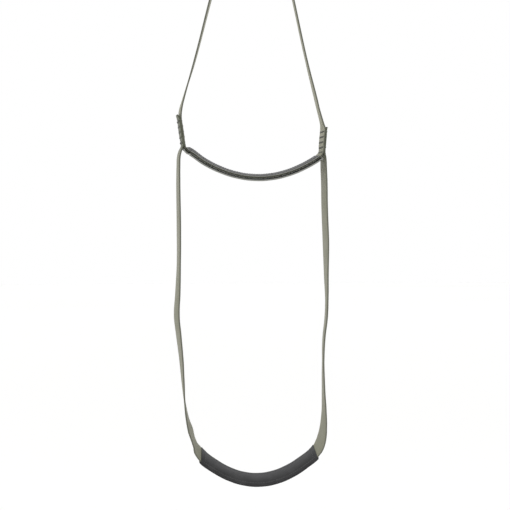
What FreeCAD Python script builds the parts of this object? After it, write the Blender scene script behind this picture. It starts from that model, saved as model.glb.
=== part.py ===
import FreeCAD, Part
import Sketcher
import math
import os

# Two-step webbing aider: a foot ladder sewn from two lengths of flat webbing.
# Millimetres. The origin is the middle of the bar that the sewn eye hangs on.
# +Z is up, X runs along the steps, and Y runs across the webbing.
# -Y is the side whose step edges hang a little lower.

os.makedirs("parts", exist_ok=True)
doc = FreeCAD.newDocument("webbing_aider")

# ---------------------------------------------------------------- driving sizes

SIZES = {
    "webbing_width": 25.0,
    "webbing_thick": 2.0,
    "sleeve_width": 28.0,
    "sleeve_thick": 1.0,
    "stiffener_width": 21.0,
    "stiffener_thick": 0.8,
    "layer_gap": 0.05,
    "eye_radius": 10.3,
    "eye_flank_angle": 20.0,
    "stem_bottom": 60.0,
    "body_gap": 0.3,
    "tack_length": 21.0,
    "tack_height": 2.2,
    "tack_proud": 0.5,
    "stem_tack_top": 34.5,
    "stem_tack_pitch": 5.8,
    "joint_tack_pitch": 7.1,
    "seam_inset": 3.0,
    "seam_width": 1.2,
    "seam_proud": 0.4,
    "upper_fold_height": 72.8,
    "lower_fold_height": 508.0,
    "upper_split_left": -93.7,
    "upper_split_right": 88.2,
    "lower_split_left": -80.7,
    "lower_split_right": 92.5,
}

sheet = doc.addObject("Spreadsheet::Sheet", "Sizes")
for row, (alias, value) in enumerate(SIZES.items(), start=1):
    sheet.set("A%d" % row, alias)
    sheet.set("B%d" % row, str(value))
    sheet.setAlias("B%d" % row, alias)
doc.recompute()


def size(alias):
    """The value of one sheet cell, in millimetres or degrees."""
    return float(sheet.get(alias))


# ---------------------------------------------------------------- webbing paths
# Each station is (x, z, roll): a point of the webbing's middle line, and how far
# the webbing is rolled about that line. At roll 0 its width lies along Y. With a
# positive roll the -Y edge moves to the outside of the loop.
# Every path goes down the left side, along the step and up the right side.

LEFT_LEG = [
    (-1.0, -60.0, 0),
    (-4.0, -72.8, 0),
    (-17.5, -125, 4),
    (-38.0, -200, 9),
    (-61.0, -285, 11),
    (-82.0, -366, 9),
    (-97.3, -418, 4),
    (-101.2, -433, 1),
    (-102.0, -445, 0),
    (-96.8, -481, 0),
    (-95.2, -485, 4),
    (-92.4, -487.3, 10),
]
RIGHT_LEG = [
    (88.0, -492.3, 5),
    (90.0, -490.0, 3),
    (91.4, -487, 0),
    (93.9, -455, 0),
    (92.1, -443, -5),
    (88.2, -429, -7.5),
    (85.0, -416, -8),
    (71.3, -362, -11),
    (53.1, -281, -11),
    (31.5, -185, -8),
    (17.0, -120, -4),
    (6.4, -72.8, 0),
    (3.1, -60.0, 0),
]
LEFT_JOINT = {"top": (-102.0, -445.0), "foot": (-96.8, -481.0), "side": -1}
RIGHT_JOINT = {"top": (93.9, -455.0), "foot": (91.4, -487.0), "side": 1}
LEFT_STRAP = [
    (-103.9, -495.2, 0),
    (-104.2, -508, 0),
    (-104.4, -527, -1),
    (-103.6, -590, -2),
    (-103.7, -640, -1),
    (-105.0, -678, -5),
    (-106.4, -708, -7),
    (-104.0, -732, -6),
    (-100.2, -767, -2),
    (-98.0, -796, 2),
    (-95.6, -824, 8),
    (-91.9, -847, 14),
    (-88.0, -861, 21),
    (-84.2, -874, 17),
    (-79.2, -886.7, 28),
]
RIGHT_STRAP = [
    (90.0, -885.5, 17),
    (93.3, -875, 12),
    (95.4, -861, 5),
    (96.3, -840, -2),
    (95.5, -812, -7),
    (95.0, -772, -11),
    (96.0, -741, -9),
    (99.2, -712, -8),
    (100.1, -690, -8),
    (99.4, -655, -3),
    (98.8, -610, 3),
    (97.0, -560, 3),
    (96.5, -527, 3),
    (95.7, -508, 3),
    (95.4, -495.2, 1),
]

# A step hangs as a parabola: middle point, half length, sag, tilt and end rolls.
UPPER_STEP = {"mid_x": -2.3, "half": 87.2, "low_z": -520.9, "sag": 30.0,
              "tilt": -3.8, "left_roll": 17.0, "right_roll": 4.5}
LOWER_STEP = {"mid_x": 6.2, "half": 79.3, "low_z": -930.0, "sag": 35.6,
              "tilt": 0.9, "left_roll": 31.0, "right_roll": 18.0}
STEP_STATIONS = 15


def step_stations(step):
    """Stations along one step, from its left end to its right end."""
    stations = []
    for index in range(STEP_STATIONS):
        u = 2.0 * index / (STEP_STATIONS - 1) - 1.0
        x = step["mid_x"] + step["half"] * u
        z = step["low_z"] + step["sag"] * u * u + step["tilt"] * u
        share = (u + 1.0) / 2.0
        roll = step["left_roll"] + (step["right_roll"] - step["left_roll"]) * share
        stations.append((x, z, roll))
    return stations


def frame_at(point, direction, roll):
    """Placement of a cross-section: local X across the webbing, local Y its face."""
    along = FreeCAD.Vector(direction)
    along.normalize()
    inward = along.cross(FreeCAD.Vector(0, 1, 0))
    turn = math.radians(roll)
    across = FreeCAD.Vector(0, 1, 0) * math.cos(turn) + inward * math.sin(turn)
    face = along.cross(across)
    rotation = FreeCAD.Rotation(across, face, along, "ZXY")
    return FreeCAD.Placement(point, rotation)


def path_frames(stations):
    """One placement per station, each squared to the path's mean direction there."""
    points = [FreeCAD.Vector(x, 0, z) for x, z, roll in stations]
    frames = []
    for index, point in enumerate(points):
        before = points[max(index - 1, 0)]
        after = points[min(index + 1, len(points) - 1)]
        incoming = point - before
        outgoing = after - point
        if incoming.Length > 0:
            incoming.normalize()
        if outgoing.Length > 0:
            outgoing.normalize()
        frames.append(frame_at(point, incoming + outgoing, stations[index][2]))
    return frames


UPPER_PATH = LEFT_LEG + step_stations(UPPER_STEP) + RIGHT_LEG
LOWER_PATH = LEFT_STRAP + step_stations(LOWER_STEP) + RIGHT_STRAP
UPPER_FRAMES = path_frames(UPPER_PATH)
LOWER_FRAMES = path_frames(LOWER_PATH)


# ---------------------------------------------------------------- sketch helpers

def origin_plane(body, role):
    """One of a body's own origin planes, such as XY_Plane."""
    for feature in body.Origin.OriginFeatures:
        if feature.Role == role:
            return feature
    raise ValueError("no plane " + role)


def new_body(label):
    body = doc.addObject("PartDesign::Body", label)
    body.Label = label
    return body


def add_sketch(body, role, name, offset=None):
    sketch = body.newObject("Sketcher::SketchObject", name)
    sketch.AttachmentSupport = [(origin_plane(body, role), "")]
    sketch.MapMode = "FlatFace"
    if offset is not None:
        sketch.AttachmentOffset = offset
    return sketch


def add_closed_outline(sketch, corners):
    """Straight sides through the corners, joined end to end."""
    count = len(corners)
    for index in range(count):
        x1, y1 = corners[index]
        x2, y2 = corners[(index + 1) % count]
        start = FreeCAD.Vector(x1, y1, 0)
        finish = FreeCAD.Vector(x2, y2, 0)
        sketch.addGeometry(Part.LineSegment(start, finish), False)
    for index in range(count):
        following = (index + 1) % count
        sketch.addConstraint(Sketcher.Constraint("Coincident", index, 2, following, 1))


def bind(sketch, kind, picks, name, formula, start=1.0):
    """A sketch dimension that follows an expression over the sheet."""
    index = sketch.addConstraint(Sketcher.Constraint(kind, *picks, start))
    sketch.renameConstraint(index, name)
    sketch.setExpression("Constraints." + name, formula)


def add_strip_section(sketch, width, thick, across, height):
    """A rectangle centred at (across, height); its four sizes are expressions."""
    add_closed_outline(sketch, [(-1, -1), (1, -1), (1, 1), (-1, 1)])
    for side, kind in enumerate(("Horizontal", "Vertical", "Horizontal", "Vertical")):
        sketch.addConstraint(Sketcher.Constraint(kind, side))
    bind(sketch, "DistanceX", (0, 1, 0, 2), "strip_width", width)
    bind(sketch, "DistanceY", (1, 1, 1, 2), "strip_thick", thick)
    bind(sketch, "DistanceX", (-1, 1, 0, 2), "right_side", "(%s) + (%s) / 2" % (across, width))
    bind(sketch, "DistanceY", (-1, 1, 1, 2), "top_side", "(%s) + (%s) / 2" % (height, thick))


def add_sleeve_section(sketch):
    """A strip of cloth folded lengthwise: closed along +Y, open along the -Y edge."""
    half = size("sleeve_width") / 2
    wall = size("sleeve_thick")
    top = size("webbing_thick") / 2 + size("layer_gap") + wall
    low = -top - size("stiffener_thick") - size("layer_gap")
    corners = [(-half, low), (half, low), (half, top), (-half, top),
               (-half, top - wall), (half - wall, top - wall),
               (half - wall, low + wall), (-half, low + wall)]
    add_closed_outline(sketch, corners)
    for side in range(len(corners)):
        kind = "Vertical" if side in (1, 3, 5, 7) else "Horizontal"
        sketch.addConstraint(Sketcher.Constraint(kind, side))
    top_height = "Sizes.webbing_thick / 2 + Sizes.layer_gap + Sizes.sleeve_thick"
    whole = "2 * (%s) + Sizes.stiffener_thick + Sizes.layer_gap" % top_height
    bind(sketch, "DistanceX", (0, 1, 0, 2), "sleeve_width", "Sizes.sleeve_width")
    bind(sketch, "DistanceY", (1, 1, 1, 2), "sleeve_height", whole)
    bind(sketch, "DistanceX", (5, 1, 2, 1), "fold_wall", "Sizes.sleeve_thick")
    bind(sketch, "DistanceY", (5, 1, 2, 1), "top_wall", "Sizes.sleeve_thick")
    bind(sketch, "DistanceY", (0, 1, 7, 1), "low_wall", "Sizes.sleeve_thick")
    bind(sketch, "DistanceX", (-1, 1, 0, 2), "right_side", "Sizes.sleeve_width / 2")
    bind(sketch, "DistanceY", (-1, 1, 2, 1), "top_side", top_height)
    sketch.addConstraint(Sketcher.Constraint("Vertical", 4, 1, 7, 1))


def loft_body(label, frames, draw_section):
    """A body lofted straight from section to section along the given frames."""
    body = new_body(label)
    sections = []
    for index, frame in enumerate(frames):
        sketch = add_sketch(body, "XY_Plane", "%s_section_%02d" % (label, index), frame)
        draw_section(sketch)
        sections.append(sketch)
    loft = body.newObject("PartDesign::AdditiveLoft", label + "_loft")
    loft.Profile = sections[0]
    loft.Sections = sections[1:]
    loft.Ruled = True
    body.Tip = loft
    return body


def strip_body(label, frames, width, thick, across="0", height="0"):
    """A flat strip that follows the frames, such as webbing or a row of thread."""
    def draw(sketch):
        add_strip_section(sketch, width, thick, across, height)
    return loft_body(label, frames, draw)


def add_block_sketch(body, name, low_corner, high_corner):
    """A rectangle on the XZ plane, given by two corners (x, z)."""
    sketch = add_sketch(body, "XZ_Plane", name)
    x1, z1 = low_corner
    x2, z2 = high_corner
    add_closed_outline(sketch, [(x1, z1), (x2, z1), (x2, z2), (x1, z2)])
    return sketch


def cut_through(body, sketch):
    """Cut the sketch right through the body, both ways along Y."""
    pocket = body.newObject("PartDesign::Pocket", sketch.Name + "_cut")
    pocket.Profile = sketch
    pocket.SideType = "Symmetric"
    pocket.Type = "Length"
    pocket.Length = 200
    body.Tip = pocket
    return pocket


def cut_beyond(body, split, side, low_z, high_z):
    """Cut away what lies past the plane x = split, on the side given as -1 or 1."""
    far = split + side * 40.0
    sketch = add_block_sketch(body, body.Label + "_split", (split, low_z), (far, high_z))
    return cut_through(body, sketch)


def round_top(body, fold_height):
    """Round the strap's top end about the fold line, so that it can swing freely."""
    radius = size("webbing_width") / 2
    fold = -size(fold_height)
    reach = 20.0
    sketch = add_sketch(body, "YZ_Plane", body.Label + "_end")
    circle = Part.Circle(FreeCAD.Vector(0, fold, 0), FreeCAD.Vector(0, 0, 1), radius)
    arc = sketch.addGeometry(Part.ArcOfCircle(circle, 0, math.pi), False)
    corners = [(-radius, fold), (-reach, fold), (-reach, fold + reach),
               (reach, fold + reach), (reach, fold), (radius, fold)]
    for first, second in zip(corners, corners[1:]):
        start = FreeCAD.Vector(first[0], first[1], 0)
        finish = FreeCAD.Vector(second[0], second[1], 0)
        sketch.addGeometry(Part.LineSegment(start, finish), False)
    last = len(corners) - 1
    sketch.addConstraint(Sketcher.Constraint("Coincident", arc, 2, 1, 1))
    for line in range(1, last):
        sketch.addConstraint(Sketcher.Constraint("Coincident", line, 2, line + 1, 1))
    sketch.addConstraint(Sketcher.Constraint("Coincident", last, 2, arc, 1))
    bind(sketch, "Radius", (arc,), "end_radius", "Sizes.webbing_width / 2", radius)
    pocket = body.newObject("PartDesign::Pocket", body.Label + "_round")
    pocket.Profile = sketch
    pocket.SideType = "Symmetric"
    pocket.Type = "Length"
    pocket.Length = 400
    body.Tip = pocket


# ---------------------------------------------------------------- sewn eye

WIDTH = "Sizes.webbing_width"
THICK = "Sizes.webbing_thick"
LAYER = size("webbing_thick") + size("layer_gap")


def eye_layer(label, inner_radius, stem_face, radius_formula):
    """One layer of webbing round the eye: a drop shape whose ends lie in the stem."""
    angle = math.radians(size("eye_flank_angle"))
    bottom = -size("stem_bottom")
    thick = size("webbing_thick")
    body = new_body(label)
    sketch = add_sketch(body, "XZ_Plane", label + "_outline")

    def flank_top(radius, side):
        return (side * radius * math.cos(angle), -radius * math.sin(angle))

    def flank_foot(radius, face, side):
        return (side * face, (face * math.cos(angle) - radius) / math.sin(angle))

    def add_line(first, second):
        start = FreeCAD.Vector(first[0], first[1], 0)
        finish = FreeCAD.Vector(second[0], second[1], 0)
        return sketch.addGeometry(Part.LineSegment(start, finish), False)

    def add_arc(radius):
        circle = Part.Circle(FreeCAD.Vector(0, 0, 0), FreeCAD.Vector(0, 0, 1), radius)
        arc = Part.ArcOfCircle(circle, -angle, math.pi + angle)
        return sketch.addGeometry(arc, False)

    inner = inner_radius
    outer = inner_radius + thick
    near = stem_face
    far = stem_face + thick
    inner_arc = add_arc(inner)
    outer_arc = add_arc(outer)
    for arc in (inner_arc, outer_arc):
        sketch.addConstraint(Sketcher.Constraint("Coincident", arc, 3, -1, 1))
    bind(sketch, "Radius", (inner_arc,), "inner_radius", radius_formula, inner)
    bind(sketch, "Radius", (outer_arc,), "outer_radius", radius_formula + " + " + THICK, outer)
    for side, arc_end in ((1, 1), (-1, 2)):
        corners = [flank_top(inner, side), flank_foot(inner, near, side), (side * near, bottom),
                   (side * far, bottom), flank_foot(outer, far, side), flank_top(outer, side)]
        lines = [add_line(first, second) for first, second in zip(corners, corners[1:])]
        sketch.addConstraint(Sketcher.Constraint("Coincident", inner_arc, arc_end, lines[0], 1))
        for first, second in zip(lines, lines[1:]):
            sketch.addConstraint(Sketcher.Constraint("Coincident", first, 2, second, 1))
        sketch.addConstraint(Sketcher.Constraint("Coincident", lines[-1], 2, outer_arc, arc_end))
        sketch.addConstraint(Sketcher.Constraint("Vertical", lines[1]))
        sketch.addConstraint(Sketcher.Constraint("Horizontal", lines[2]))
        sketch.addConstraint(Sketcher.Constraint("Vertical", lines[3]))
    pad = body.newObject("PartDesign::Pad", label + "_pad")
    pad.Profile = sketch
    pad.SideType = "Symmetric"
    pad.setExpression("Length", WIDTH)
    body.Tip = pad
    return body


eye_layer("eye_inner_webbing", size("eye_radius"), size("layer_gap") / 2, "Sizes.eye_radius")
eye_layer("eye_outer_webbing", size("eye_radius") + LAYER, size("layer_gap") / 2 + LAYER,
          "Sizes.eye_radius + Sizes.webbing_thick + Sizes.layer_gap")


# ---------------------------------------------------------------- bar tacks

def thread_block(name, frame, low_corner, lengths):
    """One small block of thread, its three lengths bound to the sheet."""
    block = doc.addObject("Part::Box", name)
    for side, formula in zip(("Length", "Width", "Height"), lengths):
        block.setExpression(side, formula)
    block.Placement = frame.multiply(FreeCAD.Placement(low_corner, FreeCAD.Rotation()))
    return block


def group(label, members):
    """Separate solids of one kind, kept together as one node."""
    compound = doc.addObject("Part::Compound", label)
    compound.Label = label
    compound.Links = members
    return compound


TACK_LENGTHS = ("Sizes.tack_length", "Sizes.tack_proud", "Sizes.tack_height")


def bar_tacks(label, frame, inner_face, outer_face, positions):
    """Bar tacks across a stack of webbing: a block of thread on each face of it."""
    left_end = -size("tack_length") / 2
    half_height = size("tack_height") / 2
    proud = size("tack_proud")
    gap = size("layer_gap")
    blocks = []
    for index, along in enumerate(positions):
        for face, start in (("in", inner_face + gap), ("out", outer_face - gap - proud)):
            corner = FreeCAD.Vector(left_end, start, along - half_height)
            name = "%s_%d_%s" % (label, index, face)
            blocks.append(thread_block(name, frame, corner, TACK_LENGTHS))
    return group(label, blocks)


stem_face = size("layer_gap") / 2 + LAYER + size("webbing_thick")
stem_frame = frame_at(FreeCAD.Vector(0, 0, 0), FreeCAD.Vector(0, 0, -1), 0)
stem_positions = [size("stem_tack_top") + size("stem_tack_pitch") * n for n in range(5)]
stem_positions = [p for p in stem_positions if p < size("stem_bottom")]
bar_tacks("eye_bar_tacks", stem_frame, stem_face, -stem_face, stem_positions)


def joint_frame(joint):
    """Frame at the top of a joint, on the leg's middle line, pointing down it."""
    top = FreeCAD.Vector(joint["top"][0], 0, joint["top"][1])
    foot = FreeCAD.Vector(joint["foot"][0], 0, joint["foot"][1])
    frame = frame_at(top, foot - top, 0)
    return frame, (foot - top).Length


def joint_tacks(label, joint):
    """Five bar tacks that hold the side strap's end to the outside of the leg."""
    frame, length = joint_frame(joint)
    pitch = size("joint_tack_pitch")
    first = (length - 4 * pitch) / 2
    positions = [first + pitch * n for n in range(5)]
    leg_face = size("webbing_thick") / 2
    strap_face = leg_face + size("layer_gap") * 2 + size("webbing_thick")
    if joint["side"] < 0:
        bar_tacks(label, frame, leg_face, -strap_face, positions)
    else:
        bar_tacks(label, frame, strap_face, -leg_face, positions)


joint_tacks("left_joint_bar_tacks", LEFT_JOINT)
joint_tacks("right_joint_bar_tacks", RIGHT_JOINT)


# ---------------------------------------------------------------- upper loop

def leg(label, frames, split, side):
    """One leg, from the stem down through the joint to the end of the upper step."""
    body = strip_body(label, frames, WIDTH, THICK)
    cut_beyond(body, split, side, -530, -470)
    round_top(body, "upper_fold_height")


half_gap = size("body_gap") / 2
left_count = len(LEFT_LEG)
right_start = len(LEFT_LEG) + STEP_STATIONS
leg("left_leg_webbing", UPPER_FRAMES[:left_count + 1], size("upper_split_left") - half_gap, 1)
leg("right_leg_webbing", UPPER_FRAMES[right_start - 1:], size("upper_split_right") + half_gap, -1)


def sewn_end(label, joint, tail_top, below):
    """The side strap's end, sewn flat outside the leg, with a short loose tail."""
    frame, length = joint_frame(joint)
    offset = joint["side"] * (size("webbing_thick") + size("layer_gap") * 2)
    top = frame.multVec(FreeCAD.Vector(0, offset, 0))
    foot = frame.multVec(FreeCAD.Vector(0, offset, length))
    stations = [tail_top, (top.x, top.z, 0), (foot.x, foot.z, 0)] + below
    strip_body(label, path_frames(stations), WIDTH, THICK)


sewn_end("left_sewn_strap_end", LEFT_JOINT, (-106.4, -440.5, 0),
         [(-101.8, -488.2, 0), (-103.7, -494.7, 0)])
sewn_end("right_sewn_strap_end", RIGHT_JOINT, (96.9, -451.5, 0), [(95.3, -494.9, 1)])


# ---------------------------------------------------------------- steps

def midway(stations, index):
    """Frame halfway between one station and the next."""
    x1, z1, roll1 = stations[index]
    x2, z2, roll2 = stations[index + 1]
    start = FreeCAD.Vector(x1, 0, z1)
    finish = FreeCAD.Vector(x2, 0, z2)
    return frame_at((start + finish) / 2, finish - start, (roll1 + roll2) / 2)


def step_pieces(prefix, path, first, split_left, split_right, low_z, high_z):
    """Webbing, stiffener, folded sleeve and thread of one step."""
    last = first + STEP_STATIONS
    frames = path_frames(path)
    step_frames = frames[first:last]
    core = strip_body(prefix + "_webbing", frames[first - 3:last + 3], WIDTH, THICK)
    cut_beyond(core, split_left + half_gap, -1, low_z, high_z)
    right = add_block_sketch(core, prefix + "_right_split", (split_right - half_gap, low_z),
                             (split_right + 40, high_z))
    cut_through(core, right)

    under = "-Sizes.webbing_thick / 2 - Sizes.layer_gap - Sizes.stiffener_thick / 2"
    strip_body(prefix + "_stiffener", step_frames[1:-1], "Sizes.stiffener_width",
               "Sizes.stiffener_thick", "0", under)
    loft_body(prefix + "_sleeve", step_frames, add_sleeve_section)

    above = "Sizes.webbing_thick / 2 + 2 * Sizes.layer_gap + Sizes.sleeve_thick"
    seam_top = above + " + Sizes.seam_proud / 2"
    seam_low = "-(%s) - Sizes.stiffener_thick - Sizes.layer_gap - Sizes.seam_proud / 2" % above
    edge = "(Sizes.sleeve_width / 2 - Sizes.seam_inset)"
    seams = []
    for face, height in (("top", seam_top), ("under", seam_low)):
        for side, across in (("open", "-" + edge), ("fold", edge)):
            name = "%s_%s_%s_row" % (prefix, face, side)
            row = strip_body(name, step_frames, "Sizes.seam_width",
                             "Sizes.seam_proud", across, height)
            seams.append(row)
    group(prefix + "_seam_stitching", seams)

    ends = []
    top_height = size("webbing_thick") / 2 + 2 * size("layer_gap") + size("sleeve_thick")
    low_height = -top_height - size("stiffener_thick") - size("layer_gap") - size("seam_proud")
    row_length = size("sleeve_width") - 4 * size("seam_inset")
    for end, frame in (("left", midway(path, first)), ("right", midway(path, last - 2))):
        for face, height in (("top", top_height), ("under", low_height)):
            corner = FreeCAD.Vector(-row_length / 2, height, -size("seam_width") / 2)
            name = "%s_%s_%s_end_row" % (prefix, end, face)
            lengths = ("Sizes.sleeve_width - 4 * Sizes.seam_inset", "Sizes.seam_proud",
                       "Sizes.seam_width")
            ends.append(thread_block(name, frame, corner, lengths))
    group(prefix + "_end_stitching", ends)


step_pieces("upper_step", UPPER_PATH, len(LEFT_LEG), size("upper_split_left"),
            size("upper_split_right"), -530, -470)
step_pieces("lower_step", LOWER_PATH, len(LEFT_STRAP), size("lower_split_left"),
            size("lower_split_right"), -960, -840)


# ---------------------------------------------------------------- lower loop

def side_strap(label, frames, split, side):
    """One side strap, from the fold below the joint down to the lower step."""
    body = strip_body(label, frames, WIDTH, THICK)
    cut_beyond(body, split, side, -960, -840)
    round_top(body, "lower_fold_height")


strap_count = len(LEFT_STRAP)
strap_start = len(LEFT_STRAP) + STEP_STATIONS
side_strap("left_side_strap", LOWER_FRAMES[:strap_count + 2],
           size("lower_split_left") - half_gap, 1)
side_strap("right_side_strap", LOWER_FRAMES[strap_start - 2:],
           size("lower_split_right") + half_gap, -1)


# ---------------------------------------------------------------- check and write

NODES = [
    "eye_inner_webbing", "eye_outer_webbing", "eye_bar_tacks",
    "left_leg_webbing", "right_leg_webbing",
    "left_sewn_strap_end", "right_sewn_strap_end",
    "left_joint_bar_tacks", "right_joint_bar_tacks",
    "upper_step_webbing", "upper_step_stiffener", "upper_step_sleeve",
    "upper_step_seam_stitching", "upper_step_end_stitching",
    "left_side_strap", "right_side_strap",
    "lower_step_webbing", "lower_step_stiffener", "lower_step_sleeve",
    "lower_step_seam_stitching", "lower_step_end_stitching",
]

doc.recompute()
for item in doc.Objects:
    if "Invalid" in item.State or "Error" in item.State:
        raise RuntimeError("failed object: " + item.Name)

for node in NODES:
    piece = doc.getObjectsByLabel(node)[0]
    shape = piece.Shape
    if shape.isNull() or not shape.isValid():
        raise RuntimeError("bad shape: " + node)
    shape.exportStep("parts/%s.step" % node)
    print("%-28s solids %2d  volume %8.1f" % (node, len(shape.Solids), shape.Volume))
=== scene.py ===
# %% [markdown]
# # A two-step webbing foot ladder
# The real thing is soft: two long straps of flat nylon webbing, two folded cloth
# sleeves, two plastic strips and a lot of thread. A sewer makes it flat on a bench and
# only then hangs it up. This file works the same way. Every soft piece is modelled flat,
# along the X axis, and a Curve modifier hangs it along the line that the webbing takes.
# Bending each piece where it hangs would also do, but flat work is easier to measure.

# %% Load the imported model
import math

import bpy
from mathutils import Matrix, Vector


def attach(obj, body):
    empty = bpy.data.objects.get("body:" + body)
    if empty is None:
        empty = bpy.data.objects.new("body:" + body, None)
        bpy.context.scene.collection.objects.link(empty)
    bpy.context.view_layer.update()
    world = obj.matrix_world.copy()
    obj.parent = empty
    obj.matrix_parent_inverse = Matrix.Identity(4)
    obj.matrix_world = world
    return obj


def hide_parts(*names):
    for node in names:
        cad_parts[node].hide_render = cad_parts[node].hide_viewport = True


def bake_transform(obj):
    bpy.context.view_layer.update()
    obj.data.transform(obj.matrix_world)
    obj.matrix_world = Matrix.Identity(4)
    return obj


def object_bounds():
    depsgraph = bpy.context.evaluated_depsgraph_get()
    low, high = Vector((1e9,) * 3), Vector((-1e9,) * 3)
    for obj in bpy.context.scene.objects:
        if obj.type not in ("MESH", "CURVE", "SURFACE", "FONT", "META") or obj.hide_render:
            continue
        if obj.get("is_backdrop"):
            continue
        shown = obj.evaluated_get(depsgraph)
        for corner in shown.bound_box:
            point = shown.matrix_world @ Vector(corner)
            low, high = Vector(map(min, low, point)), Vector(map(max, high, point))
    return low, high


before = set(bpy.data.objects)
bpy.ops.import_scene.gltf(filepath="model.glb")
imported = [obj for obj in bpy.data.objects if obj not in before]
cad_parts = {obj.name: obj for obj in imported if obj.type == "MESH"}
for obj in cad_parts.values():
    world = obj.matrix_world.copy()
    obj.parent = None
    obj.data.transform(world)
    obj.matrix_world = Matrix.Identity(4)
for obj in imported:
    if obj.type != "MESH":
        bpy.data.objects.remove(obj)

cad_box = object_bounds()
print("CAD box, metres:", [tuple(round(v, 3) for v in corner) for corner in cad_box])

# %% [markdown]
# ## Units and small helpers
# Blender works in metres, and a sewer works in millimetres, so lengths below are
# millimetres times MM. An operator acts on all that is selected, and loading the frame
# leaves its nodes selected, so every step starts by deselecting everything. Edges and
# faces could be picked by number, but a pick by place or direction survives a change of
# size, so the helpers take a test.

# %% Helpers
MM = 0.001


def deselect_all():
    if bpy.context.object and bpy.context.object.mode != "OBJECT":
        bpy.ops.object.mode_set(mode="OBJECT")
    bpy.ops.object.select_all(action="DESELECT")


def make_active(piece):
    deselect_all()
    piece.select_set(True)
    bpy.context.view_layer.objects.active = piece


def select_edges(piece, wanted):
    """Select the edges whose two end points make wanted(a, b) true, in edit mode."""
    bpy.ops.object.mode_set(mode="EDIT")
    bpy.ops.mesh.select_mode(type="EDGE")
    bpy.ops.mesh.select_all(action="DESELECT")
    bpy.ops.object.mode_set(mode="OBJECT")
    points = piece.data.vertices
    for edge in piece.data.edges:
        a, b = (points[v].co for v in edge.vertices)
        edge.select = wanted(a, b)
    bpy.ops.object.mode_set(mode="EDIT")


def select_faces(piece, wanted):
    """Select the faces for which wanted(centre, normal) is true, in edit mode."""
    bpy.ops.object.mode_set(mode="EDIT")
    bpy.ops.mesh.select_mode(type="FACE")
    bpy.ops.mesh.select_all(action="DESELECT")
    bpy.ops.object.mode_set(mode="OBJECT")
    for face in piece.data.polygons:
        face.select = wanted(face.center, face.normal)
    bpy.ops.object.mode_set(mode="EDIT")


def runs_along(axis):
    """A test for edges that run along X, Y or Z (0, 1 or 2)."""
    def test(a, b):
        step = b - a
        return abs(step[axis]) > 0.99 * step.length
    return test


print("one millimetre is", MM, "m")

# %% [markdown]
# ## The camera comes first
# A hanging ladder is seen from a little to its left, from about the height of its
# middle. A short lens would splay the two sides, so this one is long and stands well
# back, and the sides stay almost parallel.

# %% Camera
VIEW_TURN = math.radians(-11.5)
VIEW_DISTANCE = 1.70
VIEW_HEIGHT = -0.627
VIEW_WIDTH = 0.6885
SENSOR = 36.0

view_x = VIEW_DISTANCE * math.sin(VIEW_TURN)
view_y = -VIEW_DISTANCE * math.cos(VIEW_TURN)
bpy.ops.object.camera_add(location=(view_x, view_y, VIEW_HEIGHT),
                          rotation=(math.radians(90), 0, VIEW_TURN))
camera = bpy.context.object
camera.name = "view_camera"
camera.data.sensor_width = SENSOR
camera.data.lens = SENSOR * VIEW_DISTANCE / VIEW_WIDTH
bpy.context.scene.camera = camera
print("lens, mm:", round(camera.data.lens, 1))

# %% [markdown]
# ## Colours and shader nodes
# Colours are written as sRGB hex, as a maker would pick them, and one function turns
# them into the linear numbers that shaders want. One more function adds a node, sets it
# and links it, so that a material reads as a list of steps. What goes into an input is a
# value, an output, or a node, which stands for its first output.

# %% Colour and node helpers
def colour(hex_code):
    """sRGB hex to linear RGBA."""
    channels = [int(hex_code[i:i + 2], 16) / 255 for i in (0, 2, 4)]
    linear = [c / 12.92 if c <= 0.04045 else ((c + 0.055) / 1.055) ** 2.4 for c in channels]
    return (*linear, 1.0)


def new_material(name):
    material = bpy.data.materials.new(name)
    material.use_nodes = True
    material.node_tree.nodes.clear()
    return material, material.node_tree


def add_node(tree, kind, links=None, **settings):
    """A node with its settings, and links from its inputs to what goes into them."""
    node = tree.nodes.new("ShaderNode" + kind)
    for name, value in settings.items():
        setattr(node, name, value)
    for socket, source in (links or {}).items():
        if isinstance(source, bpy.types.Node):
            source = source.outputs[0]
        if isinstance(source, bpy.types.NodeSocket):
            tree.links.new(source, node.inputs[socket])
        else:
            node.inputs[socket].default_value = source
    return node


print("mid grey 808080 is", round(colour("808080")[0], 3), "in linear light")

# %% [markdown]
# ## A plain white studio
# The ladder hangs in front of nothing, above a wide pale floor that lies well below it.
# The floor's paint is barely speckled, so it never looks like a flat fill.

# %% Floor
FLOOR_HEIGHT = -1.35
FLOOR_SIZE = 60

paint, tree = new_material("pale_floor_paint")
speckle = add_node(tree, "TexNoise", {"Scale": 6.0, "Detail": 3.0})
tint = add_node(tree, "MixRGB", {"Fac": speckle, "Color1": colour("FBFBFA"),
                                 "Color2": colour("FFFFFF")})
shader = add_node(tree, "BsdfPrincipled", {"Base Color": tint, "Roughness": 0.9})
add_node(tree, "OutputMaterial", {"Surface": shader})

deselect_all()
bpy.ops.mesh.primitive_plane_add(size=FLOOR_SIZE, location=(0, 0, FLOOR_HEIGHT))
floor = bpy.context.object
floor.name = "studio_floor"
floor.data.materials.append(paint)
floor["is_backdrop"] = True
print("floor at", FLOOR_HEIGHT, "m")

# %% [markdown]
# A white surround lights the ladder from all sides, as a light tent does. Lamps alone
# would need many to be this soft. The tent is brightest above and behind and a little
# brighter on the left, so that a tape's face and its edge part from each other. Seen
# directly it is plain white paper.

# %% Surround
EVEN_LIGHT = 0.72
TOP_LIGHT = 0.45
BACK_LIGHT = 0.22
LEFT_LIGHT = 0.12
WHITE = (1, 1, 1, 1)

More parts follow.
